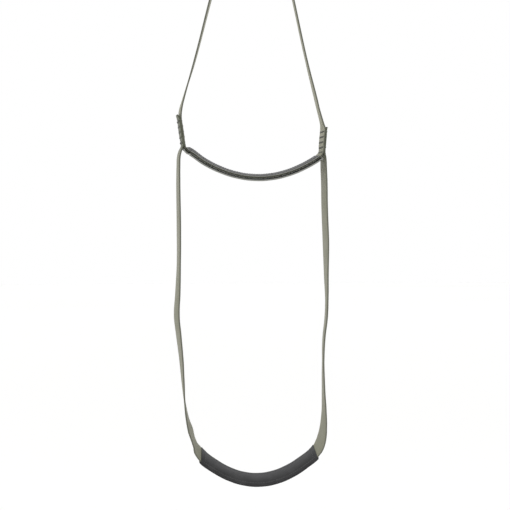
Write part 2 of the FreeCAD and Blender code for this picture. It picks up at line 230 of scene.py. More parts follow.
world = bpy.data.worlds.new("white_surround")
bpy.context.scene.world = world
world.use_nodes = True
tree = world.node_tree
tree.nodes.clear()
toward = add_node(tree, "SeparateXYZ", {"Vector": add_node(tree, "TexCoord").outputs["Generated"]})
upwards = add_node(tree, "Math", {0: toward.outputs["Z"], 1: 0.0}, operation="MAXIMUM")
overhead = add_node(tree, "Math", {0: upwards, 1: TOP_LIGHT, 2: EVEN_LIGHT},
                    operation="MULTIPLY_ADD")
and_back = add_node(tree, "Math", {0: toward.outputs["Y"], 1: BACK_LIGHT, 2: overhead},
                    operation="MULTIPLY_ADD")
glow = add_node(tree, "Math", {0: toward.outputs["X"], 1: -LEFT_LIGHT, 2: and_back},
                operation="MULTIPLY_ADD")
tent = add_node(tree, "Background", {"Color": WHITE, "Strength": glow})
paper = add_node(tree, "Background", {"Color": WHITE, "Strength": 1.0})
is_view = add_node(tree, "LightPath").outputs["Is Camera Ray"]
both = add_node(tree, "MixShader", {0: is_view, 1: tent, 2: paper})
add_node(tree, "OutputWorld", {"Surface": both})
print("the tent glows at", EVEN_LIGHT, "all round and up to", EVEN_LIGHT + TOP_LIGHT, "above")

# %% [markdown]
# One large soft lamp on the left adds a highlight. It is wide, so that its shadows stay
# as soft as the tent's.

# %% Lamp
LAMP_PLACE = (-1.6, -0.9, 0.4)
LAMP_SIZE = 1.4
LAMP_WATTS = 4

deselect_all()
bpy.ops.object.light_add(type="AREA", location=LAMP_PLACE)
lamp = bpy.context.object
lamp.name = "left_soft_lamp"
lamp.data.shape = "DISK"
lamp.data.size = LAMP_SIZE
lamp.data.energy = LAMP_WATTS
to_ladder = Vector((0, 0, VIEW_HEIGHT)) - lamp.location
lamp.rotation_euler = to_ladder.to_track_quat("-Z", "Y").to_euler()
bpy.context.scene.view_settings.view_transform = "Standard"
bpy.context.scene.view_settings.look = "None"
print("lamp of", LAMP_WATTS, "W,", round(to_ladder.length, 2), "m away")

# %% [markdown]
# ## The olive nylon webbing
# The webbing is flat nylon tape, 25 mm wide and 2 mm thick, dyed a grey olive. Thick
# warp cords run along it and lie in a herringbone, because each weft thread passes over
# two cords and under two. A weave could be modelled cord by cord, but at this size a
# pattern with a bump gives the same look for far less. It is drawn from the cloth map,
# U across and V along in millimetres: U folded back and forth gives the zigzag, and a
# sine of V plus that zigzag gives the ribs.

# %% Cloth map and ribs
CLOTH_MAP = "cloth_mm"
# Real cords lie about 0.8 mm apart and real ribs about 1.2 mm, too fine to show from
# here, so both are drawn about twice as coarse.
CORD_PITCH = 1.55
RIB_PITCH = 2.4
HERRINGBONE_WIDTH = 6.2


def cloth_place(tree):
    """The cloth map's U and V, in millimetres."""
    place = add_node(tree, "UVMap", uv_map=CLOTH_MAP)
    split = add_node(tree, "SeparateXYZ", {"Vector": place})
    return split.outputs["X"], split.outputs["Y"]


def ribs(tree, distance, pitch):
    """A wave from 0 to 1 and back every pitch millimetres."""
    angle = add_node(tree, "Math", {0: distance, 1: 2 * math.pi / pitch}, operation="MULTIPLY")
    wave = add_node(tree, "Math", {0: angle}, operation="SINE")
    return add_node(tree, "Math", {0: wave, 1: 0.5, 2: 0.5}, operation="MULTIPLY_ADD")


print("ribs every", RIB_PITCH, "mm, zigzag", HERRINGBONE_WIDTH, "mm wide")

# %% [markdown]
# Nylon is slightly glossy in each thread and dull as a whole, so the roughness is high,
# with a little sheen from the fuzz of wear. The dye has faded in soft patches a few
# centimetres wide. The tape is drawn darker along its two edges, and darker over the last
# few centimetres of the lower strap's ends. The same tape is made in copies with painted
# light and shade: one painted lighter for the upper strap, and one painted darker, as
# shade, for the lower strap.

# %% Webbing finish
FADE_PATCHES = 22.0
DARK_EDGE_BAND = (11.5, 12.2)
DARK_END_FADE = 8.0
FAR_AWAY = 100000.0


def webbing_material(name, painted_brightness, dark_end_to=-FAR_AWAY, dark_end_from=FAR_AWAY):
    """Woven olive tape, made lighter or darker as a whole by one factor as painted light and
    shade, and darker over a stretch at each end of V.
    """
    material, tree = new_material(name)
    across, along = cloth_place(tree)
    zigzag = add_node(tree, "Math", {0: across, 1: HERRINGBONE_WIDTH / 2}, operation="PINGPONG")
    slanted = add_node(tree, "Math", {0: along, 1: zigzag}, operation="ADD")
    weave = add_node(tree, "MixRGB", {"Fac": 0.65, "Color1": ribs(tree, across, CORD_PITCH),
                                      "Color2": ribs(tree, slanted, RIB_PITCH)})
    body_place = add_node(tree, "TexCoord").outputs["Object"]
    patches = add_node(tree, "TexNoise", {"Vector": body_place, "Scale": FADE_PATCHES,
                                          "Detail": 4.0})
    fade = add_node(tree, "MapRange", {"Value": patches, "From Min": 0.3, "From Max": 0.7})
    # The weave is drawn in two tones, its grooves painted darker than its crests, as shade.
    fresh = add_node(tree, "MixRGB", {"Fac": weave, "Color1": colour("6D6D5A"),
                                      "Color2": colour("8F8F78")})
    faded = add_node(tree, "MixRGB", {"Fac": weave, "Color1": colour("7B7A6A"),
                                      "Color2": colour("9D9C89")})
    dye = add_node(tree, "MixRGB", {"Fac": fade, "Color1": fresh, "Color2": faded})
    # Painted light and shade: the whole tape is made lighter or darker by one factor.
    shade = add_node(tree, "HueSaturation", {"Color": dye, "Value": painted_brightness})
    # The tape is drawn darker along its two edges.
    from_middle = add_node(tree, "Math", {0: across}, operation="ABSOLUTE")
    on_edge = add_node(tree, "MapRange", {"Value": from_middle, "From Min": DARK_EDGE_BAND[0],
                                          "From Max": DARK_EDGE_BAND[1]})
    edged = add_node(tree, "MixRGB", {"Fac": on_edge, "Color1": shade, "Color2": colour("606154")})
    # The tape is drawn darker over a stretch at each end of the map, fading in over a few
    # millimetres.
    at_start = add_node(tree, "MapRange", {"Value": along, "From Min": dark_end_to,
                                           "From Max": dark_end_to - DARK_END_FADE})
    at_end = add_node(tree, "MapRange", {"Value": along, "From Min": dark_end_from,
                                         "From Max": dark_end_from + DARK_END_FADE})
    at_tip = add_node(tree, "Math", {0: at_start, 1: at_end}, operation="MAXIMUM")
    end_darkening = add_node(tree, "Math", {0: at_tip, 1: 0.8}, operation="MULTIPLY")
    end_tone = add_node(tree, "MixRGB", {"Fac": weave, "Color1": colour("3E422F"),
                                       "Color2": colour("5A5F4B")})
    tone = add_node(tree, "MixRGB", {"Fac": end_darkening, "Color1": edged, "Color2": end_tone})
    bump = add_node(tree, "Bump", {"Height": weave, "Strength": 0.7, "Distance": 0.3 * MM})
    shader = add_node(tree, "BsdfPrincipled", {"Base Color": tone, "Roughness": 0.72, "IOR": 1.53,
                                               "Sheen Weight": 0.12, "Sheen Roughness": 0.5,
                                               "Normal": bump})
    add_node(tree, "OutputMaterial", {"Surface": shader})
    return material


# The upper strap's copy is painted lighter, as painted light, and the lower strap's copies darker,
# as painted shade.
lit_webbing_finish = webbing_material("painted_lit_olive_nylon", 1.10)
shaded_webbing_finish = webbing_material("painted_shade_olive_nylon", 0.88)
print("webbing finishes:", lit_webbing_finish.name, "and", shaded_webbing_finish.name)

# %% [markdown]
# ## The charcoal step cloth
# Each step is wrapped in a coated pack cloth, dark charcoal, woven with a clear rib so
# that a boot grips it. The ribs run across the step. A worn coating is a little paler on
# the crests of the ribs and in scuffed spots, and the grooves between the ribs are painted
# darker, as shade. Towards the back edge, at the fold, the cloth is painted paler, as
# painted light from above. Seen at a low angle the cloth turns pale, which is what sheen
# does. Sheen was chosen over a gloss, because a coat this worn has no highlight.

# %% Step cloth finish
# Such a cloth has a rib about every 0.9 mm and a cross thread about every 0.45 mm. Both
# are drawn twice as coarse, so that they show.
STEP_RIB_PITCH = 1.8
CROSS_THREAD_PITCH = 0.9
SCUFF_SPOTS = 60.0
FOLD_LIGHT_SPAN = (-7.0, 13.0)

cloth_finish, tree = new_material("ribbed_charcoal_pack_cloth")
across, along = cloth_place(tree)
weave = add_node(tree, "MixRGB", {"Fac": 0.75, "Color1": ribs(tree, across, CROSS_THREAD_PITCH),
                                  "Color2": ribs(tree, along, STEP_RIB_PITCH)})
# The grooves between the ribs are painted darker than the crests, as shade; the crests are also
# paler from a worn coating.
coating = add_node(tree, "MixRGB", {"Fac": weave, "Color1": colour("101012"),
                                    "Color2": colour("1E1E20")})
# Painted light: the cloth is drawn paler towards the back edge, at the fold, where light from
# above falls most.
to_back = add_node(tree, "MapRange", {"Value": across, "From Min": FOLD_LIGHT_SPAN[0],
                                      "From Max": FOLD_LIGHT_SPAN[1]})
painted_fold_light = add_node(tree, "Math", {0: to_back, 1: 0.5}, operation="MULTIPLY")
tone = add_node(tree, "MixRGB", {"Fac": painted_fold_light, "Color1": coating, "Color2": colour("505052")})
body_place = add_node(tree, "TexCoord").outputs["Object"]
spots = add_node(tree, "TexNoise", {"Vector": body_place, "Scale": SCUFF_SPOTS, "Detail": 6.0})
scuffs = add_node(tree, "MapRange", {"Value": spots, "From Min": 0.45, "From Max": 0.75})
scuffed = add_node(tree, "Math", {0: scuffs, 1: 0.3}, operation="MULTIPLY")
tone = add_node(tree, "MixRGB", {"Fac": scuffed, "Color1": tone, "Color2": colour("4C4C4E")})
bump = add_node(tree, "Bump", {"Height": weave, "Strength": 0.7, "Distance": 0.25 * MM})
shader = add_node(tree, "BsdfPrincipled", {"Base Color": tone, "Roughness": 0.65, "IOR": 1.5,
                                           "Sheen Weight": 0.2, "Sheen Roughness": 0.35,
                                           "Normal": bump})
add_node(tree, "OutputMaterial", {"Surface": shader})
print("step cloth finish: ribs every", STEP_RIB_PITCH, "mm")

# %% [markdown]
# The cut edges of that cloth, the narrow rim of the sleeve, are drawn lighter, with a
# striped finish of their own: the ends of the threads, with the grooves between them
# painted darker, as shade. The thread ends follow the cross threads, so they are drawn
# coarse too.

# %% Cut edge finish
THREAD_END_PITCH = 1.1

edge_finish, tree = new_material("cut_pack_cloth_edge")
across, along = cloth_place(tree)
slanted = add_node(tree, "Math", {0: along, 1: across}, operation="ADD")
thread_ends = ribs(tree, slanted, THREAD_END_PITCH)
# Painted shade in the grooves between the thread ends.
tone = add_node(tree, "MixRGB", {"Fac": thread_ends, "Color1": colour("757670"),
                                 "Color2": colour("9C9D96")})
bump = add_node(tree, "Bump", {"Height": thread_ends, "Strength": 0.5, "Distance": 0.2 * MM})
shader = add_node(tree, "BsdfPrincipled", {"Base Color": tone, "Roughness": 0.8,
                                           "Sheen Weight": 0.3, "Normal": bump})
add_node(tree, "OutputMaterial", {"Surface": shader})
print("cut edge finish: threads every", THREAD_END_PITCH, "mm")

# %% [markdown]
# ## Thread
# Bar tacks are sewn in bonded nylon thread, a dark brown olive, and the seams of the
# steps in a grey one. Bonding leaves a thin resin skin, so the thread is a little
# glossier than the tape. Its twist could be modelled, but it is under a millimetre, so
# it is drawn as fine slanting lines.

# %% Thread finishes
TWIST_PITCH = 0.9


def thread_finish(name, shadow_tone, light_tone):
    material, tree = new_material(name)
    body_place = add_node(tree, "TexCoord").outputs["Object"]
    in_mm = add_node(tree, "Mapping", {"Vector": body_place, "Scale": (1000, 1000, 1000)})
    split = add_node(tree, "SeparateXYZ", {"Vector": in_mm})
    slant = add_node(tree, "Math", {0: split.outputs["X"], 1: split.outputs["Z"]}, operation="ADD")
    slant = add_node(tree, "Math", {0: slant, 1: split.outputs["Y"]}, operation="ADD")
    twist = ribs(tree, slant, TWIST_PITCH)
    tone = add_node(tree, "MixRGB", {"Fac": twist, "Color1": colour(shadow_tone),
                                     "Color2": colour(light_tone)})
    bump = add_node(tree, "Bump", {"Height": twist, "Strength": 0.4, "Distance": 0.1 * MM})
    shader = add_node(tree, "BsdfPrincipled", {"Base Color": tone, "Roughness": 0.45,
                                               "Normal": bump})
    add_node(tree, "OutputMaterial", {"Surface": shader})
    return material


tack_finish = thread_finish("bonded_dark_thread", "2C2D25", "4A4B3E")
seam_finish = thread_finish("bonded_grey_thread", "343535", "525352")
print("thread finishes: twist every", TWIST_PITCH, "mm")

# %% [markdown]
# ## Stiffener sheet
# The stiffener is a strip of natural polypropylene sheet, cut with a knife. It is milky,
# because light scatters inside it, and slightly glossy from the rollers that made it.

# %% Stiffener finish
HAZE_SPOTS = 180.0

sheet_finish, tree = new_material("milky_polypropylene_sheet")
body_place = add_node(tree, "TexCoord").outputs["Object"]
haze = add_node(tree, "TexNoise", {"Vector": body_place, "Scale": HAZE_SPOTS, "Detail": 4.0})
tone = add_node(tree, "MixRGB", {"Fac": haze, "Color1": colour("B4B6B2"),
                                 "Color2": colour("D2D3CF")})
scratches = add_node(tree, "Bump", {"Height": haze, "Strength": 0.2, "Distance": 0.1 * MM})
shader = add_node(tree, "BsdfPrincipled", {"Base Color": tone, "Roughness": 0.35, "IOR": 1.49,
                                           "Subsurface Weight": 0.1, "Normal": scratches})
add_node(tree, "OutputMaterial", {"Surface": shader})
print("stiffener finish:", sheet_finish.name)

# %% [markdown]
# ## The lines that the webbing hangs along
# Webbing can't stretch, so the way it hangs is one line with a roll at each point. Cloth
# simulation could find such a line, but it would sag a little differently each time a
# number changes, so the line is given as a list. Each station below is (x, z, roll): a
# point on the middle of the tape, and how far the tape is rolled about its line, in
# degrees. A line starts at the left, goes down, along a step and up the right side.

# %% Stations of the upper strap
LEFT_LEG = [
    (-1.0, -60.0, 0), (-4.0, -72.8, 0), (-17.5, -125, 4), (-38.0, -200, 9), (-61.0, -285, 11),
    (-82.0, -366, 9), (-97.3, -418, 4), (-101.2, -433, 1),
]
LEFT_JOINT = ((-102.0, -445.0), (-96.8, -481.0))
LEFT_JOINT_ROLL = 1.5
LEFT_BEND = [(-95.2, -485, 4), (-92.4, -487.3, 10)]
UPPER_STEP = {"mid_x": -2.3, "half": 87.2, "low_z": -520.9, "sag": 30.0, "tilt": -3.8,
              "left_roll": 17.0, "right_roll": 4.5}
RIGHT_BEND = [(88.0, -492.3, 5), (90.0, -490.0, 3)]
RIGHT_JOINT = ((92.0, -487.0), (94.6, -455.0))
RIGHT_JOINT_ROLL = 1.0
RIGHT_LEG = [
    (93.6, -449.0, -5), (92.1, -443, -7), (88.2, -429, -8.5), (85.0, -416, -8),
    (71.3, -362, -11), (53.1, -281, -11), (31.5, -185, -8), (17.0, -120, -4), (6.4, -72.8, 0),
    (3.1, -60.0, 0),
]
STEP_STATIONS = 9


def step_stations(step):
    """Stations along one step, which sags as a parabola, from its left end to its right."""
    stations = []
    for index in range(STEP_STATIONS):
        u = 2.0 * index / (STEP_STATIONS - 1) - 1.0
        z = step["low_z"] + step["sag"] * u * u + step["tilt"] * u
        roll = step["left_roll"] + (step["right_roll"] - step["left_roll"]) * (u + 1) / 2
        stations.append((step["mid_x"] + step["half"] * u, z, roll))
    return stations


def straight(first, last, roll, offset=0.0):
    """Four stations on a straight stretch, moved sideways by offset to its left."""
    (x1, z1), (x2, z2) = first, last
    length = math.hypot(x2 - x1, z2 - z1)
    side_x, side_z = -(z2 - z1) / length * offset, (x2 - x1) / length * offset
    shares = (0, 1 / 3, 2 / 3, 1)
    return [(x1 + (x2 - x1) * s + side_x, z1 + (z2 - z1) * s + side_z, roll) for s in shares]


print("upper step sags", UPPER_STEP["sag"], "mm")

# %% [markdown]
# The eye at the top is both ends of the upper strap, laid round the bar one over the
# other and sewn together below it. Each layer is an arc about the bar with two straight
# flanks that run down into the stem, so its stations come from a formula.

# %% Stations of the eye
STEM_BOTTOM = -60.0
STEM_MIDDLE = -46.0
STEM_LEAN = 0.02
FLANK_ANGLE = math.radians(20)
ARC_TURNS = 8
EYE_LINING = {"radius": 11.3, "stem_x": 1.025}
EYE_WRAP = {"radius": 13.35, "stem_x": 3.075}


def eye_stations(radius, stem_x):
    """Up the right side of the stem, round the bar and down the left side."""
    foot_z = (stem_x * math.cos(FLANK_ANGLE) - radius) / math.sin(FLANK_ANGLE)
    top_x, top_z = radius * math.cos(FLANK_ANGLE), -radius * math.sin(FLANK_ANGLE)
    rise = [(stem_x + STEM_LEAN, STEM_BOTTOM, 0), (stem_x, STEM_MIDDLE, 0),
            (stem_x, foot_z - 3.0, 0), ((stem_x + top_x) / 2, (foot_z + top_z) / 2, 0)]
    sweep = math.pi + 2 * FLANK_ANGLE
    angles = [-FLANK_ANGLE + sweep * n / ARC_TURNS for n in range(ARC_TURNS + 1)]
    arc = [(radius * math.cos(a), radius * math.sin(a), 0) for a in angles]
    fall = [(-x, z, roll) for x, z, roll in reversed(rise)]
    return rise + arc + fall


UPPER_STATIONS = (eye_stations(**EYE_LINING)[:-1] + LEFT_LEG
                  + straight(*LEFT_JOINT, LEFT_JOINT_ROLL) + LEFT_BEND
                  + step_stations(UPPER_STEP) + RIGHT_BEND
                  + straight(*RIGHT_JOINT, RIGHT_JOINT_ROLL) + RIGHT_LEG
                  + eye_stations(**EYE_WRAP)[1:])
print("upper strap:", len(UPPER_STATIONS), "stations")

# %% [markdown]
# The lower strap begins and ends flat against the outside of the upper strap's joints,
# one layer further out, with a short tail that stands away above the stitching.

# %% Stations of the lower strap
LAYER = 2.1
LEFT_TAIL_TOP = (-106.4, -440.5, 7)
LEFT_STRAP = [
    (-101.8, -488.2, 0), (-103.7, -496.0, 0), (-104.2, -508, 0), (-104.4, -527, -1),
    (-103.6, -590, -2), (-103.7, -640, -1), (-105.0, -678, -5), (-106.4, -708, -7),
    (-104.0, -732, -6), (-100.2, -767, -2), (-98.0, -796, 2), (-95.6, -824, 8),
    (-91.9, -847, 14), (-88.0, -861, 21), (-84.2, -874, 17), (-81.4, -881.5, 19),
    (-79.0, -887.0, 28),
]
LOWER_STEP = {"mid_x": 6.2, "half": 79.3, "low_z": -930.0, "sag": 35.6, "tilt": 0.9,
              "left_roll": 31.0, "right_roll": 18.0}
RIGHT_STRAP = [
    (90.0, -885.5, 17), (93.3, -875, 12), (95.4, -861, 5), (96.3, -840, -2), (95.5, -812, -7),
    (95.0, -772, -11), (96.0, -741, -9), (99.2, -712, -8), (100.1, -690, -8), (99.4, -655, -3),
    (98.8, -610, 3), (97.0, -560, 3), (96.5, -527, 3), (95.7, -508, 3), (95.3, -496.0, 2),
]
RIGHT_TAIL_TOP = (97.2, -453.4, 2)
LOWER_STATIONS = ([LEFT_TAIL_TOP] + straight(*LEFT_JOINT, LEFT_JOINT_ROLL, -LAYER) + LEFT_STRAP
                  + step_stations(LOWER_STEP) + RIGHT_STRAP
                  + straight(*RIGHT_JOINT, RIGHT_JOINT_ROLL, -LAYER) + [RIGHT_TAIL_TOP])
print("lower strap:", len(LOWER_STATIONS), "stations")

# %% [markdown]
# Each line becomes a Bezier curve with automatic handles, which runs smoothly through
# its stations. Its tilt holds the roll. The upper line starts upwards and the lower one
# downwards, so the upper one needs half a turn more for the top of a flat piece to face
# the inside of the loop. The curve is also read back as a row of points, so that a place
# on the ladder can be given as a length along the strap, which is how a sewer marks it
# with chalk.

# %% Guide curves
STEPS_PER_STATION = 24
HALF_TURN = math.pi


def hang_line(name, stations, turn=0.0):
    """A curve through the stations, turned about itself by turn as well as by each roll."""
    deselect_all()
    bpy.ops.curve.primitive_bezier_curve_add()
    guide = bpy.context.object
    guide.name = name
    guide.data.dimensions = "3D"
    guide.data.twist_mode = "MINIMUM"
    guide.data.resolution_u = STEPS_PER_STATION
    points = guide.data.splines[0].bezier_points
    points.add(len(stations) - 2)
    for point, (x, z, roll) in zip(points, stations):
        point.handle_left_type = point.handle_right_type = "AUTO"
        point.co = (x * MM, 0, z * MM)
        point.tilt = turn + math.radians(roll)
    bpy.context.view_layer.update()
    return guide


def read_back(guide):
    """(length along the line, point) for many points of it, in millimetres."""
    depsgraph = bpy.context.evaluated_depsgraph_get()
    dots = bpy.data.meshes.new_from_object(guide.evaluated_get(depsgraph))
    places = [v.co / MM for v in dots.vertices]
    bpy.data.meshes.remove(dots)
    lengths = [0.0]
    for before, after in zip(places, places[1:]):
        lengths.append(lengths[-1] + (after - before).length)
    return list(zip(lengths, places))


def chalk_mark(trace, x, z):
    """How far along the strap the point of it nearest to (x, z) lies."""
    target = Vector((x, 0, z))
    return min(trace, key=lambda item: (item[1] - target).length)[0]


upper_line = hang_line("upper_strap_line", UPPER_STATIONS, HALF_TURN)
lower_line = hang_line("lower_strap_line", LOWER_STATIONS)
upper_trace = read_back(upper_line)
lower_trace = read_back(lower_line)
upper_end = upper_trace[-1][0]
lower_end = lower_trace[-1][0]
print("upper strap is cut", round(upper_end), "mm long, the lower", round(lower_end))

# %% [markdown]
# ## Working flat
# A soft piece starts as a flat box along X. Its length is divided so that it can bend,
# it gets its cloth map while it still lies flat, and then it is hung along its line. The
# map could be unwrapped afterwards, but on the flat piece it is simply X and Y.

# %% Flat pieces
MOST_CUTS = 90
SMOOTH_UNDER = math.radians(50)


def flat_block(name, along, across, height):
    """A box along X. Each argument is a (low, high) pair in millimetres."""
    deselect_all()
    spans = (along, across, height)
    middle = [(low + high) / 2 * MM for low, high in spans]
    bpy.ops.mesh.primitive_cube_add(size=1, location=middle)
    block = bpy.context.object
    block.name = name
    block.scale = [(high - low) * MM for low, high in spans]
    bpy.ops.object.transform_apply(location=True, rotation=True, scale=True)
    return block


def divide_along(piece, pitch):
    """Cut a flat piece across its length every pitch millimetres, in two passes."""
    parts = math.ceil(piece.dimensions.x / MM / pitch)
    coarse = math.ceil(parts / MOST_CUTS)
    for pieces in (coarse, math.ceil(parts / coarse)):
        if pieces > 1:
            select_edges(piece, runs_along(0))
            bpy.ops.mesh.subdivide(number_cuts=pieces - 1)
    bpy.ops.object.mode_set(mode="OBJECT")


def lay_cloth_map(piece):
    """U is the distance across the cloth and V along it, in millimetres."""
    layer = piece.data.uv_layers.new(name=CLOTH_MAP)
    piece.data.uv_layers.active = layer
    for loop, spot in zip(piece.data.loops, layer.data):
        x, y, _ = piece.data.vertices[loop.vertex_index].co
        spot.uv = (y / MM, x / MM)


def hang(piece, line):
    """Bend a flat piece along its line, for good."""
    make_active(piece)
    bend = piece.modifiers.new("hang", "CURVE")
    bend.object = line
    bend.deform_axis = "POS_X"
    bpy.ops.object.modifier_apply(modifier=bend.name)
    bpy.ops.object.shade_smooth_by_angle(angle=SMOOTH_UNDER)
    return piece


def finish_piece(piece, finish, slot, *nodes):
    """Give the piece its finish, unless it has one, and hide the CAD nodes that it stands for."""
    if not piece.data.materials:
        piece.data.materials.append(finish)
    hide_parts(*nodes)
    print(piece.name, "faces:", len(piece.data.polygons))


print("at most", MOST_CUTS, "cuts in one pass")

# %% [markdown]
# ## The webbing straps
# Each strap is one length of tape. A piece that bends at one joint can't bend at
# another, so each is made in three parts that meet end to end in the middle of a leg or
# a side strap. The cloth map carries on from one to the next, so the weave does too.
# The edges of woven tape are round, and three segments of bevel are enough for that.

# %% Webbing strips
WEBBING_HALF_WIDTH = 12.5
WEBBING_HALF_THICK = 1.0
WEBBING_ROUNDING = 0.85
WEBBING_STEP = 2.0


def webbing_strip(name, start, end):
    half_width, half_thick = WEBBING_HALF_WIDTH, WEBBING_HALF_THICK
    strip = flat_block(name, (start, end), (-half_width, half_width), (-half_thick, half_thick))
    select_edges(strip, runs_along(0))
    bpy.ops.mesh.bevel(offset=WEBBING_ROUNDING * MM, segments=3, affect="EDGES")
    divide_along(strip, WEBBING_STEP)
    lay_cloth_map(strip)
    return strip


left_half = chalk_mark(upper_trace, -61.0, -285)
right_half = chalk_mark(upper_trace, 53.1, -281)
left_leg = hang(webbing_strip("left_leg_and_eye_lining", 0, left_half), upper_line)
foot_bend = hang(webbing_strip("upper_foot_webbing", left_half, right_half), upper_line)
right_leg = hang(webbing_strip("right_leg_and_eye_wrap", right_half, upper_end), upper_line)
finish_piece(left_leg, lit_webbing_finish, "webbing", "eye_inner_webbing", "left_leg_webbing")
finish_piece(foot_bend, lit_webbing_finish, "webbing", "upper_step_webbing")
finish_piece(right_leg, lit_webbing_finish, "webbing", "eye_outer_webbing", "right_leg_webbing")

# %% [markdown]
# The lower strap is made the same way, in the copy of the tape painted darker, as shade.
# Its two ends are sewn on to the upper strap, and the tape is drawn darker over a few
# centimetres there. The dark part could be a piece of its own, but it is one tape, so the
# finish fades along the map.

# %% Lower strap
LEFT_DARK_END = 52.0
RIGHT_DARK_END = 46.0

left_middle = chalk_mark(lower_trace, -106.4, -708)
right_middle = chalk_mark(lower_trace, 100.1, -690)
shaded_dark_end_finish = webbing_material("shaded_dark_end_olive_nylon", 0.88, LEFT_DARK_END,
                                 lower_end - RIGHT_DARK_END)
left_strap = hang(webbing_strip("left_side_webbing", 0, left_middle), lower_line)
tread_bend = hang(webbing_strip("lower_foot_webbing", left_middle, right_middle), lower_line)
right_strap = hang(webbing_strip("right_side_webbing", right_middle, lower_end), lower_line)
finish_piece(left_strap, shaded_dark_end_finish, "webbing", "left_sewn_strap_end", "left_side_strap")
finish_piece(tread_bend, shaded_webbing_finish, "webbing", "lower_step_webbing")
finish_piece(right_strap, shaded_dark_end_finish, "webbing", "right_sewn_strap_end", "right_side_strap")

# %% [markdown]
# ## The folded sleeves
# Each step has a strip of cloth folded lengthwise round the webbing and the stiffener,
# with its fold at the back and its two cut edges at the front. It could be a profile
# swept along the line, but then the ends and the seams would be hard to shape, so it
# starts as a box whose back edges are rounded into a fold. The front and the ends are
# taken away, and Solidify gives the cloth its thickness. Two grooves are pressed in
# where the seams pull it down. At the front the upper sleeve stands open and has a
# thick pale hem below, and the lower sleeve is pressed shut by use.

# %% Folding a sleeve
SLEEVE_FRONT = -15.5
SLEEVE_BACK = 14.0
SLEEVE_TOP = 2.05
SLEEVE_LOW = -2.90
SLEEVE_STEP = 1.8
FOLD_ROUNDING = 2.4
CLOTH_THICK = 0.9
SEAM_ACROSS = 11.0
GROOVE_HALF_WIDTH = 0.8
GROOVE_DEPTH = 0.3
HEM_WIDTH = 3.0
CLOSE_ENOUGH = 0.05


def along_line(across, height):
    """A test for edges on the line along X at this place across and this height."""
    def test(a, b):
        return all(abs(p.y / MM - across) < CLOSE_ENOUGH
                   and abs(p.z / MM - height) < CLOSE_ENOUGH for p in (a, b))
    return test


def squeeze(sleeve, across, depth):
    """Press both layers of cloth in along a line, or open them if depth is below zero."""
    for face, push in ((SLEEVE_TOP, -depth), (SLEEVE_LOW, depth)):
        select_edges(sleeve, along_line(across, face))
        bpy.ops.transform.translate(value=(0, 0, push * MM))


def thicken(sleeve, pale_rim):
    """Give the folded sheet its thickness. A rim that stands open shows its cut edge."""
    sleeve.data.materials.append(cloth_finish)
    sleeve.data.materials.append(edge_finish)
    wall = sleeve.modifiers.new("cloth_thickness", "SOLIDIFY")
    wall.thickness = CLOTH_THICK * MM
    wall.offset = -1
    wall.material_offset_rim = 1 if pale_rim else 0
    make_active(sleeve)
    bpy.ops.object.modifier_apply(modifier=wall.name)


def folded_sleeve(name, start, end, open_by, hem):
    sleeve = flat_block(name, (start, end), (SLEEVE_FRONT, SLEEVE_BACK), (SLEEVE_LOW, SLEEVE_TOP))
    select_edges(sleeve, lambda a, b: runs_along(0)(a, b) and a.y > 0)
    bpy.ops.mesh.bevel(offset=FOLD_ROUNDING * MM, segments=6, affect="EDGES")
    select_faces(sleeve, lambda centre, normal: normal.y < -0.9 or abs(normal.x) > 0.9)
    bpy.ops.mesh.delete(type="FACE")
    for seam in (-SEAM_ACROSS, SEAM_ACROSS):
        for shift in (-GROOVE_HALF_WIDTH, 0, GROOVE_HALF_WIDTH):
            bpy.ops.mesh.select_all(action="SELECT")
            bpy.ops.mesh.bisect(plane_co=(0, (seam + shift) * MM, 0), plane_no=(0, 1, 0))
    divide_along(sleeve, SLEEVE_STEP)
    for seam in (-SEAM_ACROSS, SEAM_ACROSS):
        squeeze(sleeve, seam, GROOVE_DEPTH)
    squeeze(sleeve, SLEEVE_FRONT, -open_by)
    bpy.ops.object.mode_set(mode="OBJECT")
    lay_cloth_map(sleeve)
    thicken(sleeve, open_by > 0)
    for vertex in sleeve.data.vertices:
        past_hem = SLEEVE_FRONT + HEM_WIDTH - vertex.co.y / MM
        if past_hem > 0 and vertex.co.z / MM < SLEEVE_LOW + CLOSE_ENOUGH:
            vertex.co.z -= hem * min(1.0, past_hem / HEM_WIDTH) * MM
    return sleeve


print("a sleeve is", SLEEVE_BACK - SLEEVE_FRONT, "mm deep from its fold to its open edge")

# %% [markdown]
# A sleeve's mouths are not square to the step. Near each end its back edge reaches a
# little further out than its front edge, so the mouths slant. They could be cut at a
# slant, but moving the ends keeps the divisions even. Each set of leans is the left
# front, the left back, the right front and the right back, and outwards is positive.

# %% Both sleeves
LEAN_REACH = 45.0
UPPER_LEANS = (3.0, 4.0, 0.5, 0.5)
LOWER_LEANS = (-3.5, 7.0, -7.0, 4.5)
UPPER_PAST_LEFT = 4.0
UPPER_PAST_RIGHT = 2.5
OPEN_EDGE = 0.45
PRESSED_EDGE = -1.5
HEM_EXTRA = 1.0


def lean_ends(piece, start, end, leans):
    """Move the ends of a flat piece outwards, by other amounts at the front and back."""
    for vertex in piece.data.vertices:
        x, y, _ = vertex.co / MM
        left_share = max(0.0, 1 - (x - start) / LEAN_REACH)
        right_share = max(0.0, 1 - (end - x) / LEAN_REACH)
        across = (y - SLEEVE_FRONT) / (SLEEVE_BACK - SLEEVE_FRONT)
        vertex.co.x -= left_share * (leans[0] + (leans[1] - leans[0]) * across) * MM
        vertex.co.x += right_share * (leans[2] + (leans[3] - leans[2]) * across) * MM


